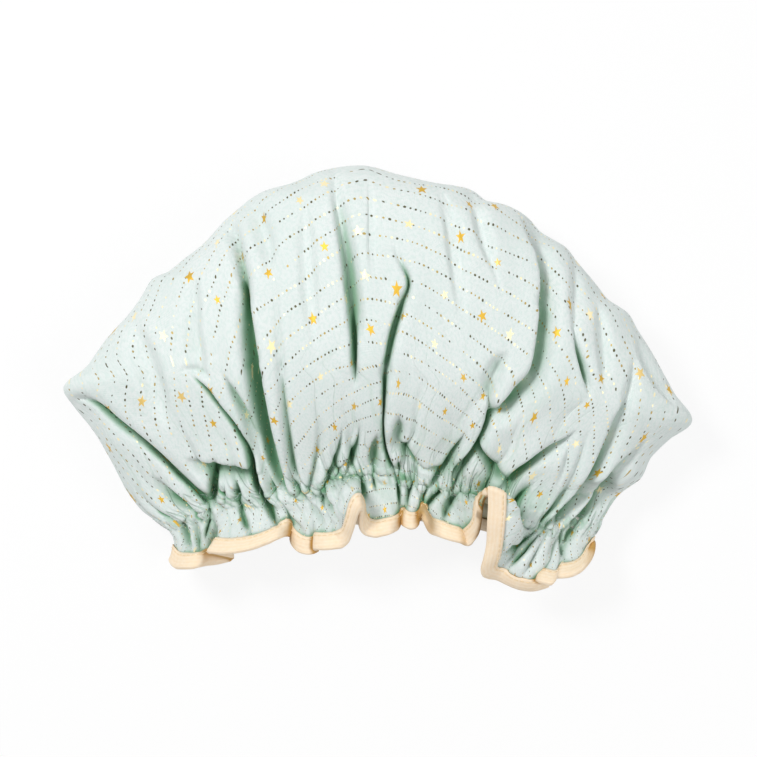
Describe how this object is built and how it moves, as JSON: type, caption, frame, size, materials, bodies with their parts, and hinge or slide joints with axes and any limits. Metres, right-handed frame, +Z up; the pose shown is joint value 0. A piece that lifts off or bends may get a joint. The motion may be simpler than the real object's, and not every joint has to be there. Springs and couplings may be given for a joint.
{
  "type": "shower cap",
  "caption": "Lined fabric shower cap lying on its side: a pleated, puffed crown, an elastic sewn in a channel, and a fluted frill with a bound hem round the opening.",
  "frame": {"origin": "on the table, under the middle of the cap's footprint", "axes": "+X across the cap from corner to corner, +Y from the opening towards the crown, +Z up from the table"},
  "size_m": [0.3, 0.2052, 0.0706],
  "materials": {
    "printed_cotton": "pale mint plain weave with small gold foil stars and dotted lines",
    "lining_film": "thin translucent film with a soft sheen",
    "elastic": "off-white knitted elastic",
    "binding_tape": "cream bias tape, plain weave",
    "mint_thread": "polyester sewing thread",
    "cream_thread": "polyester sewing thread"
  },
  "bodies": {
    "root": {"outer_fabric": "printed_cotton", "waterproof_lining": "lining_film", "elastic_band": "elastic", "hem_binding": "binding_tape", "channel_stitch_upper": "mint_thread", "channel_stitch_lower": "mint_thread", "binding_stitch": "cream_thread", "elastic_join_stitch": "mint_thread"}
  },
  "joints": []
}
